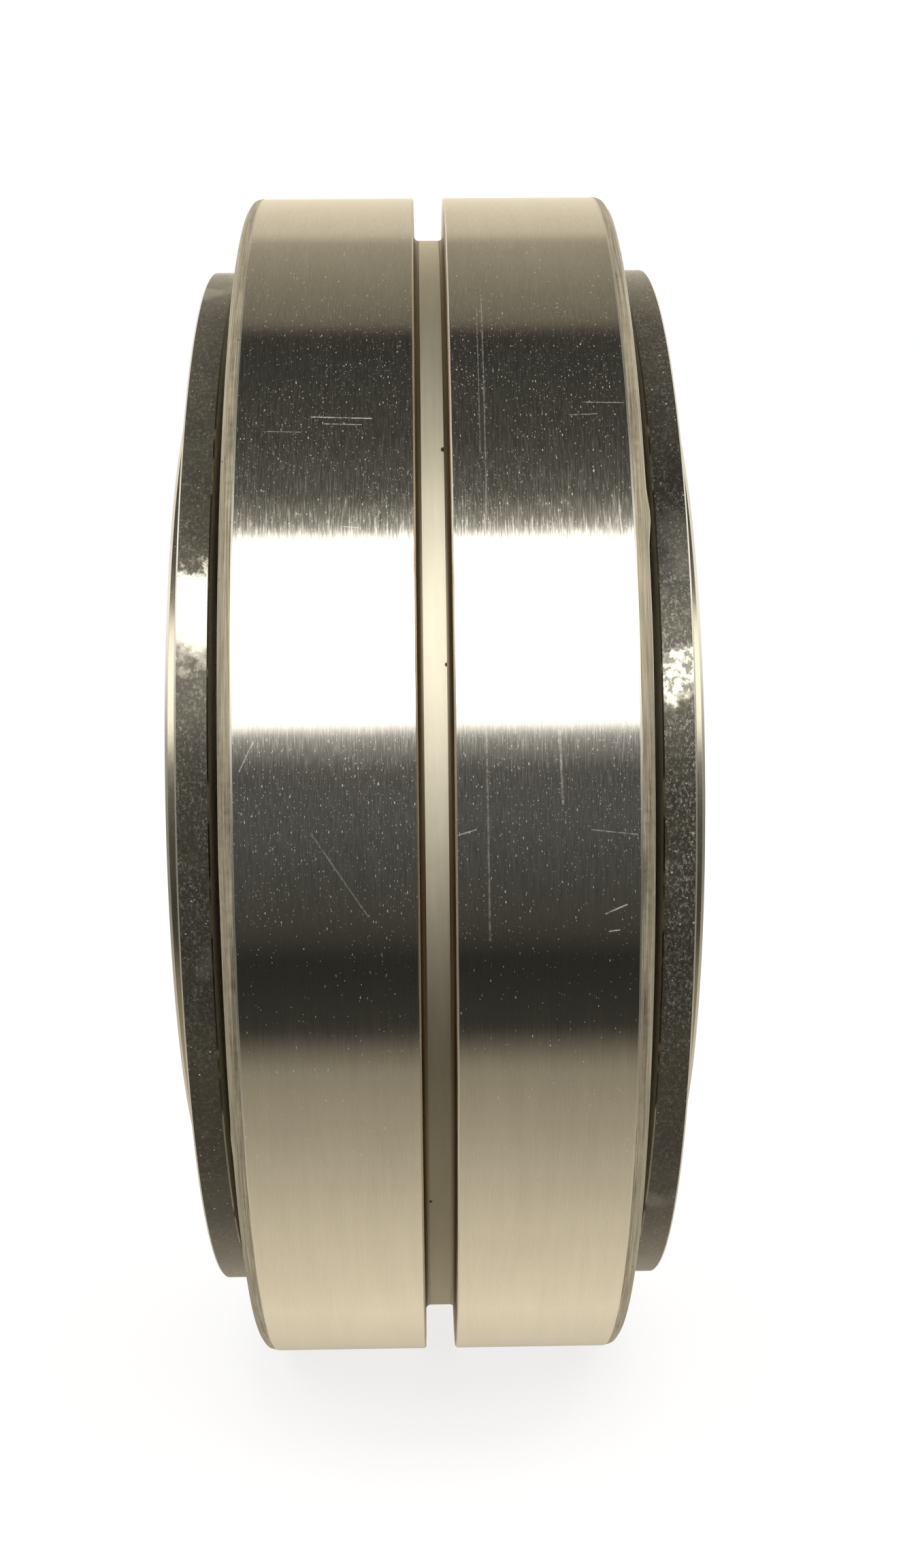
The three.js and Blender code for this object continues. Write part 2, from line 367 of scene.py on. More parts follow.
class Surface:
    """A turned surface: where its points lie, in mm, and the look built up so far."""

    def __init__(self, name, line):
        self.material, g = new_material(name)
        self.graph = g
        self.line = line
        coordinates = g.node("ShaderNodeTexCoord")
        self.point = g.scaled(coordinates.outputs["Object"], 1000.0)
        self.x, y, z = g.split(self.point)
        radius = g.math("SQRT", y * y + z * z)
        divisor = g.maximum(radius, 0.5)
        self.unit_y, self.unit_z = y / divisor, z / divisor
        # stands in for the distance along the section, and differs between the two sides
        along = g.math("ABSOLUTE", self.x) - radius * 1.37
        self.section = along + (self.x > 0.0) * 57.0

    @cached_property
    def angle(self):
        """Degrees round the ring."""
        return self.graph.math("ARCTAN2", self.unit_z, self.unit_y * -1.0) * DEGREES

    @cached_property
    def arc(self):
        """Distance round the outside."""
        return self.angle * (math.radians(1) * OUTSIDE_RADIUS)

    def tool_noise(self, spacing, turns, detail, rough):
        """Noise fine across the section and long round the ring."""
        place = self.graph.combine(self.section / spacing, self.unit_y * turns,
                                   self.unit_z * turns)
        return self.graph.noise(place, detail=detail, rough=rough)

    @cached_property
    def lines(self):
        return self.tool_noise(self.line, turns=9.0, detail=3.0, rough=0.65)

    @cached_property
    def broad(self):
        return self.tool_noise(self.line * 9, turns=4.0, detail=2.0, rough=0.5)

    @cached_property
    def short(self):
        return self.tool_noise(self.line * 0.8, turns=42.0, detail=2.0, rough=0.6)

    @cached_property
    def worn(self):
        return self.graph.levels(self.angle, WORN)

    def lay(self, amount, colour):
        self.colour = self.graph.mix(amount, self.colour, colour)

    def flecks(self, wide, tall, keep, seed, power):
        """Short dashes along the tool lines, of uneven brightness, wide and tall mm apart."""
        g = self.graph
        lean = g.noise(g.combine(self.x / 2.5, self.arc / 4.0, seed), detail=1.0)
        place = g.combine(self.x / wide + lean * 1.6, self.arc / tall + seed * 3.1, 0.0)
        dot, brightness = g.dots(place, scale=1.0, keep=keep, spread=0.15, least=0.08,
                                 core=0.35, dimensions="2D")
        return dot * brightness ** power

    def specks(self, size, keep, seed):
        """Small round grains, size mm apart."""
        shifted = self.graph.vector("ADD", self.point, (seed, seed * 1.7, seed * 0.6))
        return self.graph.dots(shifted, scale=1.0 / size, keep=keep, spread=0.13, least=0.06,
                               core=0.55)[0]

    def stroke(self, x0, angle0, x1, angle1, half_width, strength):
        """One straight scratch."""
        g = self.graph
        y0 = math.radians(angle0) * OUTSIDE_RADIUS
        dx, dy = x1 - x0, math.radians(angle1) * OUTSIDE_RADIUS - y0
        from_start = g.vector("SUBTRACT", g.combine(self.x, self.arc, 0.0), (x0, y0, 0.0))
        dot = g.measure("DOT_PRODUCT", from_start, (dx, dy, 0.0))
        reached = g.math("MULTIPLY", dot, 1.0 / (dx * dx + dy * dy), clamp=True)
        nearest = g.scaled((dx, dy, 0.0), reached)
        off = g.measure("LENGTH", g.vector("SUBTRACT", from_start, nearest))
        return g.fade(off, between=(half_width * 0.3, half_width), to=(strength, 0.0))

    def add_base(self, colour, rough, streak, tone_lines, patch, mottle, marked):
        g = self.graph
        cloud = g.noise(self.point, scale=0.055, detail=3.0, rough=0.55)
        roughness = rough + (self.lines - 0.5) * (streak * 2)
        roughness = roughness + (cloud - 0.5) * streak
        tone = (self.lines - 0.5) * tone_lines + (self.broad - 0.5) * 0.10
        tone = tone + (cloud - 0.5) * (0.12 + patch)
        if mottle:
            fine = g.noise(self.point, scale=0.9, detail=4.0, rough=0.6)
            roughness = roughness + (fine - 0.5) * mottle
            tone = tone + (fine - 0.5) * (mottle * 0.9)
        if marked:
            # where the outside is rubbed, short dull lines break up the dark reflections
            tone = tone + (self.short - 0.5) * self.worn * 1.7
            dull_lines = g.fade(self.short, between=(0.5, 0.72))
            roughness = roughness + dull_lines * self.worn * 0.10
        self.roughness = roughness
        self.colour = g.scaled(colour, tone + 1.0)
        self.height = self.lines

    def add_scratches(self, strength, marked):
        g = self.graph
        # on an end face x does not change, so the distance along the section is used
        across = self.x if marked else self.section
        families = []
        for lean, spacing, length, threshold, seed in SCRATCH_FAMILIES:
            a = across * math.cos(lean) + self.arc * math.sin(lean)
            b = self.arc * math.cos(lean) - across * math.sin(lean)
            place = g.combine(a / spacing, b / length, seed)
            scratch = g.noise(place, detail=1.0, rough=0.4)
            where = g.noise(g.combine(across / 13.0, self.arc / 21.0, seed * 2))
            families.append(g.fade(scratch, between=(threshold, threshold + 0.03))
                            * g.fade(where, between=(0.45, 0.62)))
        marks = reduce(g.maximum, families)
        if marked:
            marks = marks * (self.worn * 0.8 + 0.08)
        marks = marks * strength
        self.roughness = self.roughness + marks * 0.38
        self.lay(marks * 0.5, (0.9, 0.88, 0.83, 1))

    def add_film_and_painted_shade(self):
        """A dried film, patchy, and partly painted shade: it is bare in random patches and in
        bands at set angles, different on the left and right, where the rim's highlight falls.
        """
        g, x, point = self.graph, self.x, self.point
        edge_noise = g.noise(point, scale=0.30, detail=4.0, rough=0.65)
        ragged = self.angle + (edge_noise - 0.5) * 9.0
        left_highlight_band = (g.fade(ragged, between=(9.0, 13.0))
                      * g.fade(ragged, between=(18.6, 19.5), to=(1.0, 0.0)))
        right_highlight_band = (g.fade(ragged, between=(5.6, 7.6))
                       * g.fade(ragged, between=(9.8, 11.4), to=(1.0, 0.0)))
        patchy = g.noise(point, scale=0.75, detail=4.0, rough=0.65)
        right_highlight_band = right_highlight_band * g.fade(patchy, between=(0.42, 0.56), to=(0.25, 1.0))
        bare = g.fade(g.noise(point, scale=0.045, detail=3.0, rough=0.6),
                      between=(0.60, 0.70), to=(0.0, 0.25))
        bare_or_highlight_band = g.maximum(bare, (x < 0.0) * left_highlight_band + (x > 0.0) * right_highlight_band)
        blots = g.noise(point, scale=1.1, detail=4.0, rough=0.6)
        dull = (1.0 - bare_or_highlight_band) * g.fade(blots, between=(0.30, 0.50), to=(0.90, 1.0))
        self.roughness = self.roughness + dull * 0.12
        hue = g.noise(point, scale=0.16, detail=3.0, rough=0.6)
        olive = g.mix(g.fade(hue, between=(0.38, 0.62)),
                      (0.072, 0.066, 0.044, 1), (0.058, 0.052, 0.040, 1))
        self.lay(dull * 0.97, olive)
        self.metal = self.metal - dull * 0.42
        self.add_grit()
        # darker towards the bottom of the rim; high up, painted light on the left and painted
        # shade on the right
        lit_left = (x < 0.0) * g.levels(self.angle, PAINTED_LIGHT_LEFT)
        shaded_right = (x > 0.0) * g.levels(self.angle, PAINTED_SHADE_RIGHT)
        low = g.fade(self.unit_z, between=(-0.80, -0.15), to=(0.55, 1.0))
        self.colour = g.scaled(self.colour, low * (1.0 + (lit_left - shaded_right)))

    def add_grit(self):
        """Pale grit stuck in the film, thickest in front and on the right."""
        g = self.graph
        grit = g.maximum(self.flecks(wide=0.45, tall=0.75, keep=0.95, seed=31.0, power=1.0),
                         self.flecks(wide=0.90, tall=1.3, keep=0.60, seed=43.0, power=0.9))
        smear = g.noise(g.combine(self.x / 0.50, self.arc / 0.95, 4.0), detail=3.0, rough=0.65)
        smear = g.fade(smear, between=(0.48, 0.68), to=(0.0, 0.50))
        where = g.levels(self.angle, GRITTY) * (0.55 + (self.x > 0.0) * 0.45)
        clumps = g.noise(self.point, scale=0.42, detail=3.0, rough=0.65)
        where = where * g.fade(clumps, between=(0.36, 0.62), to=(0.40, 1.15))
        grit = g.maximum(grit, smear) * where
        self.lay(grit * 0.90, (0.56, 0.54, 0.46, 1))
        self.metal = g.maximum(self.metal - grit * 0.6, 0.0)

    def add_painted_shade(self, shaded_low):
        g = self.graph
        # painted light brightens the very bottom; painted shade darkens the lower part and a
        # stretch above the front
        painted_light_bottom = g.fade(self.unit_z, between=(-0.92, -0.70), to=(1.18, 1.0))
        self.colour = g.scaled(self.colour, painted_light_bottom)
        low = g.fade(self.unit_z, between=(-0.45, -0.06), to=(shaded_low, 1.0))
        self.colour = g.scaled(self.colour, low * g.levels(self.angle, GROOVE_FLOOR_SHADE))

    def break_up(self):
        g = self.graph
        lengths = g.noise(g.combine(0.0, self.unit_y * 6.0, self.unit_z * 6.0),
                          detail=3.0, rough=0.6)
        rubbed = g.fade(lengths, between=(0.51, 0.58))
        self.colour = g.mix(rubbed, (0.09, 0.08, 0.06, 1), self.colour)

    def add_marks(self):
        """Dust and rub marks: short pale dashes, and the single strokes."""
        g = self.graph
        veil = g.fade(g.noise(self.point, scale=0.075, detail=3.0, rough=0.6),
                      between=(0.36, 0.62), to=(0.35, 1.0))
        share = self.worn * veil
        density = 1.0
        dashes = g.maximum(
            self.flecks(wide=0.50, tall=1.30, keep=share * density, seed=2.0, power=2.0),
            self.flecks(wide=0.34, tall=0.62, keep=share * density, seed=7.0, power=2.2))
        breaks = g.fade(g.noise(g.combine(self.x * 1.3, self.arc * 1.3, 0.0),
                                detail=3.0, rough=0.6),
                        between=(0.36, 0.56), to=(0.25, 1.0))
        strokes = reduce(g.maximum, [self.stroke(*stroke) for stroke in STROKES])
        marks = g.maximum(dashes * 0.50, strokes * breaks)
        self.lay(marks, (0.44, 0.425, 0.385, 1))
        self.roughness = self.roughness + marks * 0.5
        self.metal = self.metal - marks * 0.9

    def add_dust(self, amount, least):
        g = self.graph
        dust = g.maximum(self.specks(size=1.0, keep=0.40, seed=5.0),
                         self.specks(size=0.5, keep=0.42, seed=17.0))
        veil = g.fade(g.noise(self.point, scale=0.06, detail=3.0, rough=0.55),
                      between=(0.36, 0.58), to=(least, 1.0))
        dust = dust * (veil * 0.85 + 0.15) * (amount * 0.5)
        self.lay(dust, (0.40, 0.385, 0.34, 1))
        self.roughness = self.roughness + dust * 0.6
        self.metal = g.maximum(self.metal - dust, 0.0)

    def add_pits(self, amount):
        pits = self.graph.maximum(self.specks(size=3.4, keep=0.16, seed=29.0),
                                  self.specks(size=1.5, keep=0.07, seed=37.0)) * amount
        self.lay(pits, (0.05, 0.042, 0.035, 1))
        self.height = self.height - pits * 2.0

    def outward(self):
        return self.graph.combine(0.0, self.unit_y, self.unit_z)

    def round_way(self):
        return self.graph.vector("CROSS_PRODUCT", (1.0, 0.0, 0.0), self.outward())

    def to_world(self, vector):
        return self.graph.node("ShaderNodeVectorTransform", {0: vector}, vector_type="VECTOR",
                               convert_from="OBJECT", convert_to="WORLD").outputs[0]

    def normal(self, polished, grain, sway):
        g = self.graph
        relief = {"Strength": 0.10 if polished else 0.3,
                  "Distance": 0.00002 if polished else 0.00005, "Height": self.height}
        if grain:
            peel = g.noise(self.point, scale=3.0, detail=3.0, rough=0.65)
            relief["Normal"] = g.node("ShaderNodeBump", {
                "Strength": 1.0, "Distance": grain * 0.00012, "Height": peel}).outputs[0]
        normal = g.node("ShaderNodeBump", relief).outputs[0]
        if sway:
            # each line throws the reflection a little further round the ring
            mixed = self.lines * 0.35 + (self.broad * 0.15 + self.short * 0.50)
            push = g.scaled(self.to_world(self.round_way()), (mixed - 0.5) * sway)
            normal = g.vector("NORMALIZE", g.vector("ADD", normal, push))
        return normal


def steel(name, colour, rough, streak=0.03, line=0.3, scratches=0.0, dust=0.0, mottle=0.0,
          pits=0.0, sway=0.0, patch=0.0, aniso=0.0, film=False, tone_lines=0.16, marked=False,
          grain=0.0, radial=False, dulled=0.0, shaded_low=1.0, broken=False):
    """Worked metal, with its tool lines running round the X axis.

    streak: how much roughness differs from line to line. line: spacing of the lines in mm.
    scratches, dust, pits: how much of each there is. mottle: fine unevenness.
    sway: how far the lines throw a reflection round the ring. patch: broad unevenness of tone.
    aniso: how far the satin spreads a reflection; radial: it does so in and out, as on a
    faced end. film: a dried film, partly painted shade round the rim's highlight bands.
    tone_lines: how much tone differs from line to line.
    marked: the rubbing and strokes of the outside. grain: slope of a fine orange peel.
    dulled: the share that is a dry film and not bare metal. shaded_low: the brightness that
    painted shade leaves low down. broken: an edge rubbed bright in lengths."""
    surface = Surface(name, line)
    g = surface.graph
    surface.metal = 1.0 - dulled
    surface.add_base(colour, rough, streak, tone_lines, patch, mottle, marked)
    if scratches:
        surface.add_scratches(scratches, marked)
    # the film is partly painted shade, bared at the angles where the highlight falls
    if film:
        surface.add_film_and_painted_shade()
    # painted shade and light on the groove floor
    if shaded_low < 1.0:
        surface.add_painted_shade(shaded_low)
    if broken:
        surface.break_up()
    if marked:
        surface.add_marks()
    if dust:
        surface.add_dust(dust, least=0.35 if film else 0.0)
    if pits:
        surface.add_pits(pits)
    shader = g.node("ShaderNodeBsdfPrincipled", {
        "Base Color": surface.colour,
        "Metallic": surface.metal,
        "Roughness": g.math("MINIMUM", g.maximum(surface.roughness, 0.03), 0.9),
        "Normal": surface.normal(polished=rough < 0.25, grain=grain, sway=sway),
    })
    if aniso:
        way = surface.outward() if radial else surface.round_way()
        g.put(shader.inputs["Anisotropic"], aniso)
        g.put(shader.inputs["Tangent"], surface.to_world(way))
    g.put(g.output.inputs[0], shader.outputs[0])
    return surface.material


ground_outside = steel(
    "ground_outside", colour=(0.80, 0.77, 0.69), rough=0.095, streak=0.05, line=0.22,
    scratches=0.6, sway=0.018, tone_lines=0.10, marked=True)
turned_corner = steel(
    "turned_corner", colour=(0.345, 0.302, 0.220), rough=0.42, streak=0.12, line=0.30,
    pits=0.9, patch=0.5, tone_lines=2.6, mottle=0.62, dulled=0.40)
# the floor's colour carries painted shade low down and painted light at the very bottom
groove_floor = steel(
    "groove_floor", colour=(0.97, 0.905, 0.725), rough=0.40, streak=0.03, line=0.5,
    pits=1.0, patch=0.10, aniso=0.80, shaded_low=0.38)
# painted shade: the fillets' dark colour stands for the shade in the groove's creases
groove_fillet_shade = steel(
    "groove_fillet_shade", colour=(0.24, 0.205, 0.15), rough=0.40, streak=0.08, line=0.25)
groove_wall = steel(
    "groove_wall", colour=(0.60, 0.48, 0.34), rough=0.36, streak=0.08, line=0.3,
    patch=0.6, dulled=0.65)
bright_edge = steel(
    "bright_edge", colour=(0.88, 0.85, 0.78), rough=0.24, streak=0.05, line=0.2, aniso=0.8)
rubbed_edge = steel(
    "rubbed_edge", colour=(0.56, 0.53, 0.44), rough=0.22, streak=0.05, line=0.2, broken=True)
# painted shade: the groove's left lip gets this darker colour, while the right lip, the same shape
# mirrored, keeps bright_edge
left_lip_shade = steel(
    "left_lip_shade", colour=(0.46, 0.39, 0.29), rough=0.20, streak=0.08, line=0.2, dulled=0.08)
turned_face = steel(
    "turned_face", colour=(0.66, 0.635, 0.56), rough=0.36, streak=0.10, line=0.35,
    dust=0.4, scratches=0.4, patch=0.25, aniso=0.85, radial=True, tone_lines=0.30)
ground_raceway = steel(
    "ground_raceway", colour=(0.72, 0.70, 0.64), rough=0.12, streak=0.05, line=0.25)
# the rim's film is partly painted shade: it leaves the metal bare at set angles, where its
# highlight falls
washer_rim = steel(
    "washer_rim", colour=(0.62, 0.59, 0.50), rough=0.13, streak=0.06, line=0.35, dust=2.0,
    mottle=0.05, patch=0.25, sway=0.012, film=True, grain=0.10, dulled=0.03)
washer_face = steel(
    "washer_face", colour=(0.40, 0.375, 0.31), rough=0.30, streak=0.12, line=0.4, dust=0.7,
    mottle=0.15, scratches=0.5, patch=0.3, aniso=0.8, radial=True, tone_lines=0.35)
washer_inside = steel(
    "washer_inside", colour=(0.50, 0.45, 0.33), rough=0.50, streak=0.10, line=0.4, dust=1.4,
    mottle=0.9, grain=0.3, dulled=0.75)
ground_bore = steel(
    "ground_bore", colour=(0.66, 0.64, 0.57), rough=0.16, streak=0.07, line=0.3, dust=0.6,
    scratches=0.6)
ground_seat = steel(
    "ground_seat", colour=(0.54, 0.50, 0.39), rough=0.24, streak=0.08, line=0.25, dust=0.5,
    mottle=0.12, sway=0.03, dulled=0.04)
superfinished_roller = steel(
    "superfinished_roller", colour=(0.80, 0.79, 0.76), rough=0.07, streak=0.03, line=0.4)
machined_brass = steel(
    "machined_brass", colour=(0.72, 0.50, 0.20), rough=0.30, streak=0.12, line=0.4, patch=0.2)
sintered_guide = steel(
    "sintered_guide", colour=(0.36, 0.34, 0.31), rough=0.5, streak=0.08, line=1.2, pits=0.5,
    mottle=0.15)


# ---------------------------------------------------------------------------- outer ring
OUTER_HALF_WIDTH = 31.25
OUTER_RACE_RADIUS = 95.0  # of a sphere about the bearing's centre
OUTER_RACE_HALF = 30.4
GROOVE_HALF_WIDTH = 2.625
GROOVE_FLOOR_RADIUS = 99.9
HOLE_RADIUS, HOLE_DEPTH, HOLE_CENTRE = 1.8, 12.0, 97.5


def sphere_arc(radius, x0, x1, steps, tag):
    """Points of a circle centred on the bearing's centre, from x0 to x1."""
    a0, a1 = math.asin(x0 / radius), math.asin(x1 / radius)
    angles = [a0 + (a1 - a0) * i / steps for i in range(steps + 1)]
    return [(radius * math.sin(a), radius * math.cos(a), 0, tag) for a in angles]


def outer_profile():
    ground, corner, floor, fillet, wall, edge, face, race, dull = range(9)
    # x, r, fillet, tag of the edge that leaves the point on the right, and on the left
    half = [
        (GROOVE_HALF_WIDTH, GROOVE_FLOOR_RADIUS, 0.9, wall, floor),
        (GROOVE_HALF_WIDTH, 107.27, 0.05, edge, wall),
        # the left lip's tag gives it painted shade
        (2.86, OUTSIDE_RADIUS, 0.05, ground, dull),
        (28.95, OUTSIDE_RADIUS, 0.12, edge, ground),
        (29.25, 107.45, 0.1, corner, edge),
        (30.55, 107.1, 0.9, corner, corner),
        (OUTER_HALF_WIDTH, 106.1, 0.5, face, corner),
        (OUTER_HALF_WIDTH, 104.4, 0, face, face),
        (OUTER_HALF_WIDTH, 90.3, 0.15, edge, face),
        (30.75, 89.95, 0.1, race, edge),
    ]
    right = [(x, r, radius, tag) for x, r, radius, tag, _ in half]
    left = [(-x, r, radius, tag) for x, r, radius, _, tag in reversed(half)]
    inside = sphere_arc(OUTER_RACE_RADIUS, OUTER_RACE_HALF, -OUTER_RACE_HALF, 40, race)
    profile = rounded(right + inside + left)
    # The arcs at the groove's floor get a darker colour: painted shade in the creases. A piece is
    # told by its middle, so the flat floor between the arcs keeps its own.
    out = []
    for i, (x, r, tag) in enumerate(profile):
        next_x, next_r, _ = profile[(i + 1) % len(profile)]
        if 1.73 < abs((x + next_x) / 2) < 2.64 and 99.89 < (r + next_r) / 2 < 100.81:
            tag = fillet
        out.append((x, r, tag))
    return out


def wave(angle, count, phase):
    return math.sin(math.radians(angle * count + phase))


def hump(angle, centre, width):
    return math.exp(-(((angle - centre) / width) ** 2))


def edge_shift(x, r, angle):
    """How far an edge of the outer ring is moved outward along X, in mm; its sign is unused."""
    right = x > 0
    if 2.5 < abs(x) < 2.95 and r > 107.1:
        # the groove's lips are deburred by hand, so they wander a little
        wander = 0.5 * wave(angle, 11, 40) * wave(angle, 4, 200)
        wander += 0.5 * wave(angle, 29, 90 if right else 0)
        return 0.045 * (wander + 1.6 * hump(angle, 15.4 if right else 16.4, width=0.8))
    if abs(x) > 30.9 and 105.3 < r < 106.75:
        # one pushed-up burr on the right, small ones elsewhere
        if right:
            push = 0.42 * hump(angle, 20.4, width=1.7)
        else:
            push = 0.14 * hump(angle, -31.0, width=1.2)
        return push + 0.05 * max(0.0, wave(angle, 7, 15 if right else 130)) ** 6
    if abs(x) > 28.8 and r > 107.3:
        # the land ends unevenly where the corner was turned by hand
        uneven = wave(angle, 13, 70 if right else 10) * wave(angle, 5, 33)
        return 0.05 * (uneven + 0.6 * wave(angle, 31, 0 if right else 77))
    return 0.0


def hole_cutter():
    """Oil holes through the groove, at the top and the bottom."""
    bm = bmesh.new()
    for side in (1, -1):
        bmesh.ops.create_cone(
            bm, cap_ends=True, segments=48, radius1=HOLE_RADIUS * MM, radius2=HOLE_RADIUS * MM,
            depth=HOLE_DEPTH * MM, matrix=Matrix.Translation((0, 0, side * HOLE_CENTRE * MM)))
    return make_object("oil_holes", bm, [groove_wall])


def build_outer_ring():
    # in the order of the tags in outer_profile
    materials = [ground_outside, turned_corner, groove_floor, groove_fillet_shade, groove_wall,
                 bright_edge, turned_face, ground_raceway, left_lip_shade]
    ring = lathe("outer_ring_finished", outer_profile(), materials, segments=360)
    for vertex in ring.data.vertices:
        x, y, z = vertex.co
        angle = math.degrees(math.atan2(z, -y))
        shift = edge_shift(x / MM, math.hypot(y, z) / MM, angle)
        vertex.co.x += math.copysign(shift, x) * MM
    cut(ring, hole_cutter())
    weight_normals(ring)
    register(ring, "outer_ring", rides="outer_ring")


build_outer_ring()


# ---------------------------------------------------------------------------- inner ring
def from_roller(u, v):
    """(x, r) of a point u along the right roller's axis and v out from it."""
    return ROW_X + u * TILT_COS + v * TILT_SIN, ROW_RADIUS - u * TILT_SIN + v * TILT_COS


def facing(u, r):
    """x at radius r of the plane square to the roller's axis at u."""
    x0, r0 = from_roller(u, 0)
    return x0 + (r - r0) * TILT_SIN / TILT_COS


INNER_RACE_RADIUS = 94.0  # of the raceway's section
RACE_CLEARANCE = 0.2
RIB_RADIUS = 76.0
SEAT_RADIUS = 74.6
INNER_HALF_WIDTH = 42.7


def build_inner_ring():
    shoulder, race, end, chamfer, bore, seat = range(6)
    half = []
    for i in range(15):
        u = -10.8 + 21.7 * i / 14
        hollow = (math.sqrt(INNER_RACE_RADIUS**2 - u * u)
                  - (INNER_RACE_RADIUS - ROLLER_RADIUS - RACE_CLEARANCE))
        half.append((*from_roller(u, -hollow), 0, race))
    half += [
        (facing(10.95, RIB_RADIUS), RIB_RADIUS, 0.3, shoulder),
        (33.4, RIB_RADIUS, 0.3, shoulder),
        (33.4, SEAT_RADIUS, 0.15, seat),
        (42.2, SEAT_RADIUS, 0.08, chamfer),
        (INNER_HALF_WIDTH, 74.1, 0.08, end),
        (INNER_HALF_WIDTH, 62.0, 0.4, chamfer),
        (40.7, 60.0, 0.6, bore),
    ]
    materials = [turned_face, ground_raceway, turned_face, bright_edge, ground_bore,
                 ground_seat]
    ring = lathe("inner_ring_finished", rounded(with_mirror_image(half)), materials,
                 segments=256)
    weight_normals(ring)
    register(ring, "inner_ring", rides="inner_ring")


build_inner_ring()

# ---------------------------------------------------------------------------- side washers
WASHER_NEAR, WASHER_FAR = 33.7, 38.8  # |x| of its two faces
WASHER_INSIDE, WASHER_OUTSIDE = 74.7, 94.5  # radii
WASHER_CHAMFER = 0.25


def build_washer(side, sign):
    rim, face, edge, inside, near_edge = range(5)
    section = rounded([
        (WASHER_NEAR, WASHER_INSIDE, 0.2, inside),
        (WASHER_NEAR, WASHER_OUTSIDE - WASHER_CHAMFER, 0.06, near_edge),
        (WASHER_NEAR + WASHER_CHAMFER, WASHER_OUTSIDE, 0.06, rim),
        (WASHER_FAR - WASHER_CHAMFER, WASHER_OUTSIDE, 0.06, edge),
        (WASHER_FAR, WASHER_OUTSIDE - WASHER_CHAMFER, 0.06, face),
        (WASHER_FAR, WASHER_INSIDE, 0.2, inside),
    ])
    materials = [washer_rim, washer_face, bright_edge, washer_inside, rubbed_edge]
    washer = lathe(f"side_washer_{side}_finished", on_side(section, sign), materials,
                   segments=288)
    weight_normals(washer)
    register(washer, f"side_washer_{side}", rides="inner_ring")


for side, sign in SIDES:
    build_washer(side, sign)


# ---------------------------------------------------------------------------- guide ring
def build_guide_ring():
    """A loose ring between the rows, its ends facing the rollers."""
    end_u, inside, outside = -10.85, 74.0, 80.5
    half = [(facing(end_u, inside), inside, 0.3, 0), (facing(end_u, outside), outside, 0.5, 0)]
    guide = lathe("guide_ring_finished", rounded(with_mirror_image(half)), [sintered_guide],
                  segments=192)
    weight_normals(guide)
    register(guide, "guide_ring", rides="guide_ring")


build_guide_ring()

# ---------------------------------------------------------------------------- rollers
CROWN_RADIUS = 93.0  # of the barrel's section
ROLLER_HALF, BARREL_HALF = 10.5, 9.9
DIMPLE_HALF = 9.6  # from the middle to the sunk floor in each end


def roller_placement(sign, index, x, r):
    """The frame of a roller or pocket. The left row lies half a step on from the right."""
    phase = 0 if sign > 0 else ROLLER_STEP / 2
    return (
        Matrix.Rotation(phase + index * ROLLER_STEP, 4, "X")
        @ Matrix.Translation((sign * x * MM, 0, r * MM))
        @ Matrix.Rotation(sign * TILT, 4, "Y")
    )


def roller_profile():
    barrel = []
    for i in range(13):
        u = -BARREL_HALF + 2 * BARREL_HALF * i / 12
        drop = CROWN_RADIUS - math.sqrt(CROWN_RADIUS**2 - u * u)
        barrel.append((u, ROLLER_RADIUS - drop, 0, 0))
    end = [
        (DIMPLE_HALF, 0.0, 0, 0),
        (DIMPLE_HALF, 3.4, 0.2, 0),
        (ROLLER_HALF, 4.4, 0.3, 0),
        (ROLLER_HALF, barrel[-1][1] - 0.75, 0.35, 0),
    ]
    return rounded([(-x, r, fillet, tag) for x, r, fillet, tag in end] + barrel + end[::-1])


def build_rollers():
    shared = None
    for side, sign in SIDES:
        for i in range(ROLLER_COUNT):
            piece = f"roller_{side}_{i + 1:02d}"
            if shared is None:
                roller = lathe(piece + "_finished", roller_profile(), [superfinished_roller],
                               segments=64)
                weight_normals(roller)
                apply_all(roller)
                shared = roller.data
            else:
                roller = bpy.data.objects.new(piece + "_finished", shared)
                bpy.context.scene.collection.objects.link(roller)
            roller.matrix_world = roller_placement(sign, i, ROW_X, ROW_RADIUS)
            register(roller, piece, rides=piece)


build_rollers()

# ---------------------------------------------------------------------------- cages
POCKET_HALF_LENGTH, POCKET_HALF_WIDTH, POCKET_CORNER = 10.85, 11.45, 1.6
POCKET_V = 3.0  # the cutter's middle, out from the roller's axis
POCKET_HALF_DEPTH = 4
# The cage's section in the roller's frame: u, v, fillet.
CAGE_SECTION = [
    (-13.2, -2.4, 0.3), (-13.2, 4.2, 0.8), (13.2, 4.2, 0.8), (13.2, -2.4, 0.3),
    (11.3, -2.4, 0.3), (11.3, 2.2, 0.25), (-11.3, 2.2, 0.25), (-11.3, -2.4, 0.3),
]


def pocket_outline():
    """A rectangle with rounded corners."""
    length, width = POCKET_HALF_LENGTH - POCKET_CORNER, POCKET_HALF_WIDTH - POCKET_CORNER
    outline = []
    corners = ((length, width, 0), (-length, width, 90), (-length, -width, 180),
               (length, -width, 270))
    for x, y, start in corners:
        for k in range(7):
            a = math.radians(start + 15 * k)
            outline.append((x + POCKET_CORNER * math.cos(a), y + POCKET_CORNER * math.sin(a)))
    return outline


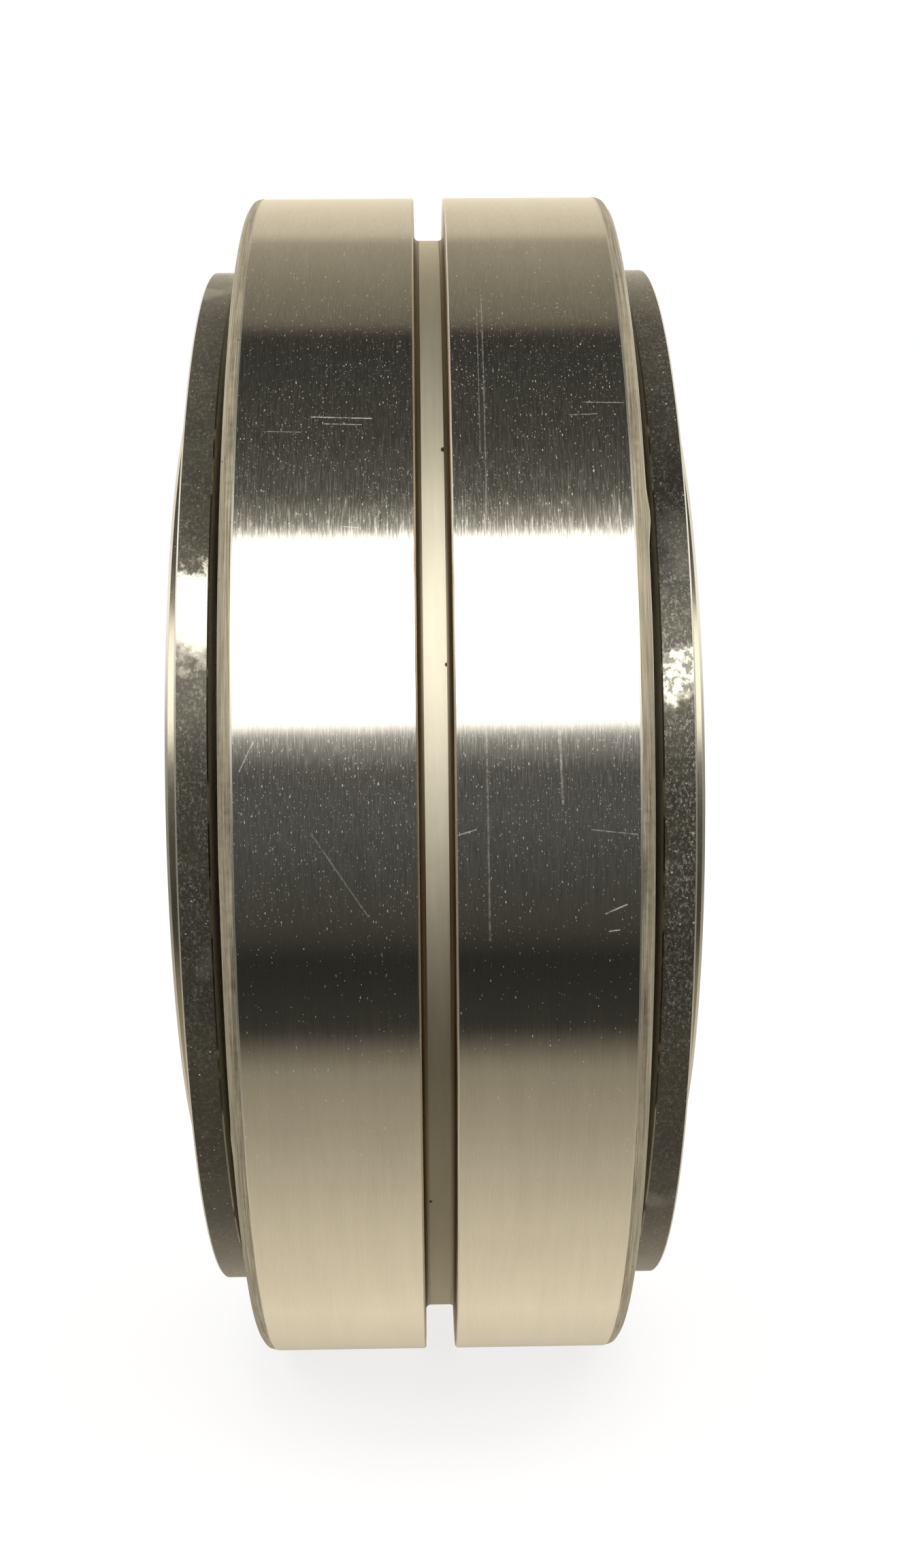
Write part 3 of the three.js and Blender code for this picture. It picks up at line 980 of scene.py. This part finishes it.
def pocket_cutter(sign):
    """All the windows of one cage in one mesh."""
    bm = bmesh.new()
    outline = pocket_outline()
    for i in range(ROLLER_COUNT):
        place = roller_placement(sign, i, *from_roller(0, POCKET_V))
        low, top = [
            [bm.verts.new(place @ Vector((x * MM, y * MM, z * MM))) for x, y in outline]
            for z in (-POCKET_HALF_DEPTH, POCKET_HALF_DEPTH)
        ]
        bm.faces.new(list(reversed(low)))
        bm.faces.new(top)
        for k in range(len(outline)):
            m = (k + 1) % len(outline)
            bm.faces.new((low[k], low[m], top[m], top[k]))
    bmesh.ops.recalc_face_normals(bm, faces=bm.faces)
    return make_object("pockets", bm, [machined_brass])


def build_cage(side, sign):
    section = rounded([(*from_roller(u, v), fillet, 0) for u, v, fillet in CAGE_SECTION])
    cage = lathe(f"cage_{side}_finished", on_side(section, sign), [machined_brass],
                 segments=ROLLER_COUNT * 12)
    cut(cage, pocket_cutter(sign))
    weight_normals(cage)
    register(cage, f"cage_{side}", rides=f"cage_{side}")


for side, sign in SIDES:
    build_cage(side, sign)

# ---------------------------------------------------------------------------- studio
scene = bpy.context.scene
scene.view_settings.view_transform = "Standard"
scene.view_settings.look = "None"

# What the metal reflects square to the axis: angle round it, level of light, tint.
WARM, MILD, PLAIN = (1.0, 0.89, 0.69), (1.0, 0.97, 0.84), (1.0, 0.98, 0.94)
STUDIO = [
    # the floor
    (-180, 0.34, WARM), (-150, 0.65, WARM), (-125, 0.85, WARM), (-95, 0.65, WARM),
    (-70, 0.40, WARM), (-56, 0.28, WARM),
    # a dark card
    (-48, 0.04, MILD), (-34, 0.025, MILD),
    # the floor's far edge, in shade
    (-28, 0.055, MILD), (-8, 0.09, PLAIN), (1, 0.09, PLAIN),
    # the long softbox in front
    (7.4, 0.34, PLAIN), (9.7, 2.3, PLAIN), (42.9, 2.3, PLAIN), (45, 0.32, MILD),
    # a dark card
    (52, 0.10, MILD), (64, 0.055, MILD), (89.5, 0.033, MILD),
    # the ceiling
    (92.5, 0.16, WARM), (121, 0.36, WARM), (126, 0.62, WARM), (158, 0.95, WARM),
    # the strip light behind
    (160, 1.9, PLAIN), (173, 1.9, PLAIN), (176, 0.40, WARM), (180, 0.34, WARM),
]
# Away to either side the same lights carry on, plainer and softer: angle, colour.
ROOM = [
    (-180, (0.34, 0.32, 0.27)), (-150, (0.62, 0.58, 0.48)), (-95, (0.60, 0.55, 0.45)),
    (-62, (0.34, 0.31, 0.25)), (-48, (0.09, 0.083, 0.07)), (-8, (0.09, 0.083, 0.074)),
    (5, (0.30, 0.29, 0.26)), (13, (1.45, 1.4, 1.3)), (44, (1.45, 1.4, 1.3)),
    (52, (0.30, 0.285, 0.24)), (82, (0.12, 0.112, 0.092)), (95, (0.40, 0.37, 0.30)),
    (128, (0.62, 0.58, 0.49)), (158, (1.2, 1.15, 1.05)), (172, (1.1, 1.05, 0.95)),
    (180, (0.34, 0.32, 0.27)),
]
# Straight out along the axis, a softbox above and a dim room below: upward part, colour.
ENDS = [
    (-1, (0.16, 0.15, 0.125)), (-0.45, (0.24, 0.224, 0.185)), (-0.12, (0.17, 0.16, 0.138)),
    (0.10, (0.20, 0.192, 0.172)), (0.22, (0.95, 0.92, 0.84)), (0.55, (2.0, 1.93, 1.78)),
    (0.75, (0.8, 0.76, 0.67)), (1, (0.3, 0.28, 0.24)),
]


def build_world():
    """Metal reflects the studio, the camera sees white, and all else is lit evenly."""
    world = bpy.data.worlds.new("studio")
    scene.world = world
    world.use_nodes = True
    g = Graph(world.node_tree, "ShaderNodeOutputWorld")
    x, y, z = g.split(g.node("ShaderNodeTexCoord").outputs["Generated"])
    angle = g.math("ARCTAN2", z, y * -1.0) * DEGREES

    def round_axis(stops):
        return g.colour_ramp(g.math("MULTIPLY_ADD", angle, 1 / 360, 0.5), stops)

    bands = round_axis([(at, tuple(level * c for c in tint)) for at, level, tint in STUDIO])
    ends = g.colour_ramp(g.math("MULTIPLY_ADD", z, 0.5, 0.5), ENDS, low=-1, high=1)
    sideways = g.math("ABSOLUTE", x)
    lights = g.mix(g.fade(sideways, between=(0.16, 0.42)), bands, round_axis(ROOM))
    lights = g.mix(g.fade(sideways, between=(0.78, 0.95)), lights, ends)

    ray = g.node("ShaderNodeLightPath").outputs
    reflected_studio = g.node("ShaderNodeBackground", {0: lights}).outputs[0]
    even = g.node("ShaderNodeBackground", {0: (1.0, 0.99, 0.97, 1), 1: 1.35}).outputs[0]
    white = g.node("ShaderNodeBackground", {0: (1, 1, 1, 1), 1: 1.0}).outputs[0]
    unseen = g.mix_shader(ray["Is Glossy Ray"], even, reflected_studio)
    g.put(g.output.inputs[0], g.mix_shader(ray["Is Camera Ray"], unseen, white))


def build_floor():
    """A plain pale floor that partly glows, just under the bearing."""
    half_size, gap = 6.0, 0.2 * MM
    material, g = new_material("pale_floor")
    diffuse = g.node("ShaderNodeBsdfDiffuse", {"Color": (0.97, 0.965, 0.95, 1)})
    glow = g.node("ShaderNodeEmission", {"Color": (1.0, 0.998, 0.99, 1)})
    glow_share = 0.80
    g.put(g.output.inputs[0], g.mix_shader(glow_share, diffuse.outputs[0], glow.outputs[0]))
    bm = bmesh.new()
    bmesh.ops.create_grid(bm, x_segments=4, y_segments=4, size=half_size,
                          matrix=Matrix.Translation((0, 0, cad_lo.z - gap)))
    floor = make_object("floor", bm, [material])
    floor.visible_glossy = False


def build_lamp():
    lamp = bpy.data.lights.new("overhead_softbox", "AREA")
    lamp.shape = "RECTANGLE"
    lamp.size, lamp.size_y = 1.4, 1.0
    lamp.energy = 9.0
    lamp.color = (1.0, 0.98, 0.94)
    ob = bpy.data.objects.new("overhead_softbox", lamp)
    ob.location = (0.15, -0.35, 1.3)
    ob.rotation_euler = (math.radians(-12), math.radians(6), 0)
    ob.visible_glossy = False
    scene.collection.objects.link(ob)


def build_camera():
    """In front of the bearing, level with its axis."""
    camera = bpy.data.cameras.new("camera")
    camera.sensor_width = 36.0
    camera.lens = 47.328125
    ob = bpy.data.objects.new("camera", camera)
    # columns: the camera's right, its up, and the way behind it
    matrix = Matrix([
        [0.999799, 0.011359, -0.016499],
        [-0.01654, 0.003513, -0.999857],
        [-0.0113, 0.999929, 0.0037],
    ]).to_4x4()
    in_outside_radii = Vector((-0.01431758, -3.72035673, -0.00593846))
    matrix.translation = in_outside_radii * (OUTSIDE_RADIUS * MM)
    ob.matrix_world = matrix
    scene.collection.objects.link(ob)
    scene.camera = ob


build_world()
build_floor()
build_lamp()
build_camera()
